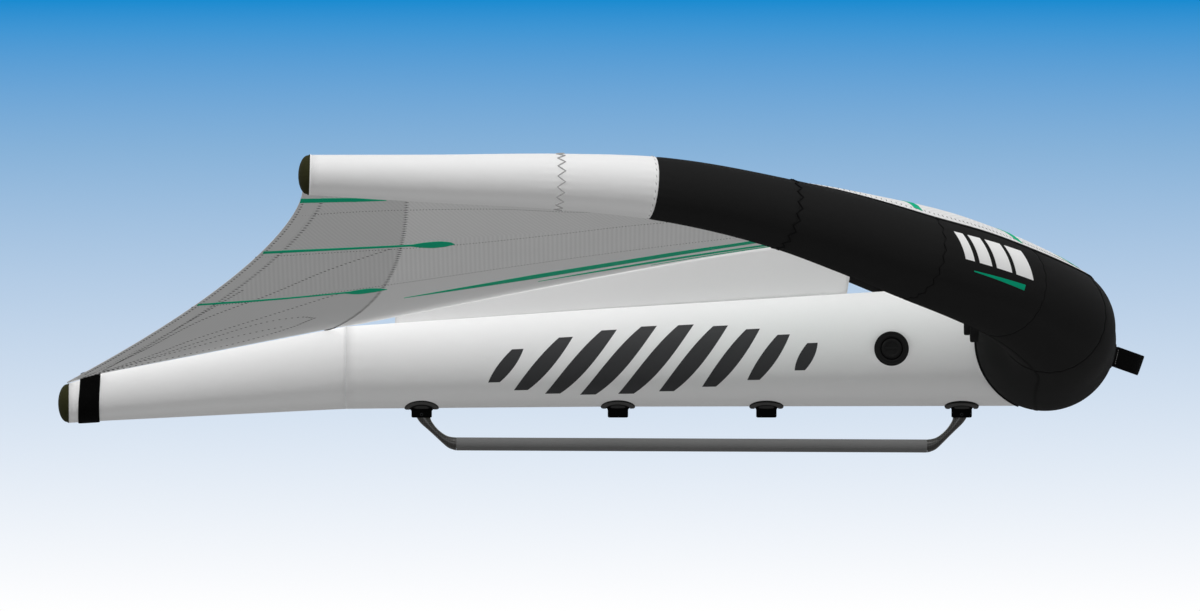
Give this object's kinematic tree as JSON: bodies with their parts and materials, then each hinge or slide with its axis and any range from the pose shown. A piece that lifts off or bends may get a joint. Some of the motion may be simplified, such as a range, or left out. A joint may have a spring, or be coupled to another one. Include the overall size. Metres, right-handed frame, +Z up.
{
  "type": "wingfoil wing",
  "caption": "Hand-held inflatable wing: C-shaped leading-edge tube, centre strut, arched cloth canopy, and a boom with end arms under the strut.",
  "frame": {"origin": "middle of the boom's grip, on its axis", "axes": "+X forward to the nose, +Y to port across the span, +Z up, away from the boom"},
  "size_m": [2.1264, 2.8866, 0.5763],
  "materials": {
    "black_sailcloth": "black woven polyester sailcloth, light weave, sewn ring seams",
    "white_sailcloth": "white woven polyester sailcloth, satin",
    "grey_ripstop": "pale grey ripstop canopy cloth with fine hatch",
    "edge_sailcloth": "heavier light grey cloth along the trailing edge, with stitched rays",
    "web_cloth": "white cloth web",
    "bladder_film": "translucent polyurethane film",
    "olive_cap": "dark olive moulded end cap",
    "black_webbing": "black polyester webbing",
    "black_rubber": "black moulded rubber, satin",
    "black_plastic": "black glass-filled nylon",
    "grey_foam": "grey foam grip sleeve",
    "carbon": "glossy carbon laminate",
    "steel": "dark stainless cross bolt"
  },
  "bodies": {
    "wing": {"boom_arm_front": "carbon", "boom_arm_rear": "carbon", "boom_bolt_front": "steel", "boom_bolt_rear": "steel", "boom_grip": "grey_foam", "boom_tube": "carbon", "canopy_aft_inner_port": "edge_sailcloth", "canopy_aft_inner_starboard": "edge_sailcloth", "canopy_aft_mid_port": "edge_sailcloth", "canopy_aft_mid_starboard": "edge_sailcloth", "canopy_aft_outer_port": "edge_sailcloth", "canopy_aft_outer_starboard": "edge_sailcloth", "canopy_inner_port": "grey_ripstop", "canopy_inner_starboard": "grey_ripstop", "canopy_mid_port": "grey_ripstop", "canopy_mid_starboard": "grey_ripstop", "canopy_outer_port": "grey_ripstop", "canopy_outer_starboard": "grey_ripstop", "canopy_tip_port": "grey_ripstop", "canopy_tip_starboard": "grey_ripstop", "hem_tape_port": "edge_sailcloth", "hem_tape_starboard": "edge_sailcloth", "le_bladder": "bladder_film", "le_sleeve_bend_port": "black_sailcloth", "le_sleeve_bend_starboard": "black_sailcloth", "le_sleeve_nose": "black_sailcloth", "le_sleeve_outer_port": "black_sailcloth", "le_sleeve_outer_starboard": "black_sailcloth", "le_sleeve_quarter_port": "black_sailcloth", "le_sleeve_quarter_starboard": "black_sailcloth", "le_sleeve_shoulder_port": "black_sailcloth", "le_sleeve_shoulder_starboard": "black_sailcloth", "le_sleeve_tip_port": "white_sailcloth", "le_sleeve_tip_starboard": "white_sailcloth", "le_valve_collar": "black_rubber", "le_valve_insert": "black_plastic", "mount_block_front": "black_plastic", "mount_block_mid_front": "black_plastic", "mount_block_mid_rear": "black_plastic", "mount_block_rear": "black_plastic", "mount_pad_front": "black_rubber", "mount_pad_mid_front": "black_rubber", "mount_pad_mid_rear": "black_rubber", "mount_pad_rear": "black_rubber", "nose_handle": "black_webbing", "nose_patch": "black_sailcloth", "strut_bladder": "bladder_film", "strut_sleeve_front": "white_sailcloth", "strut_sleeve_tail": "white_sailcloth", "strut_valve_collar": "black_rubber", "strut_valve_insert": "black_plastic", "strut_web": "web_cloth", "tail_band": "black_webbing", "tail_cap": "olive_cap", "tip_cap_port": "olive_cap", "tip_cap_starboard": "olive_cap"},
    "strut_cap": {"strut_valve_cap": "black_rubber"},
    "strut_poppet": {"strut_valve_poppet": "black_plastic"},
    "le_cap": {"le_valve_cap": "black_rubber"},
    "le_poppet": {"le_valve_poppet": "black_plastic"}
  },
  "joints": [
    {"name": "strut_cap_turn", "type": "hinge", "parent": "wing", "child": "strut_cap", "pos_m": [0.39, -0.11265, 0.18882], "axis": [0, -1, 0], "range_deg": [0, 90]},
    {"name": "strut_poppet_push", "type": "slide", "parent": "wing", "child": "strut_poppet", "axis": [0, 1, 0], "range_m": [0, 0.005], "stiffness_N_per_m": 300},
    {"name": "le_cap_turn", "type": "hinge", "parent": "wing", "child": "le_cap", "pos_m": [0.56125, -0.2, 0.235], "axis": [-1, 0, 0], "range_deg": [0, 90]},
    {"name": "le_poppet_push", "type": "slide", "parent": "wing", "child": "le_poppet", "axis": [1, 0, 0], "range_m": [0, 0.005], "stiffness_N_per_m": 300}
  ]
}
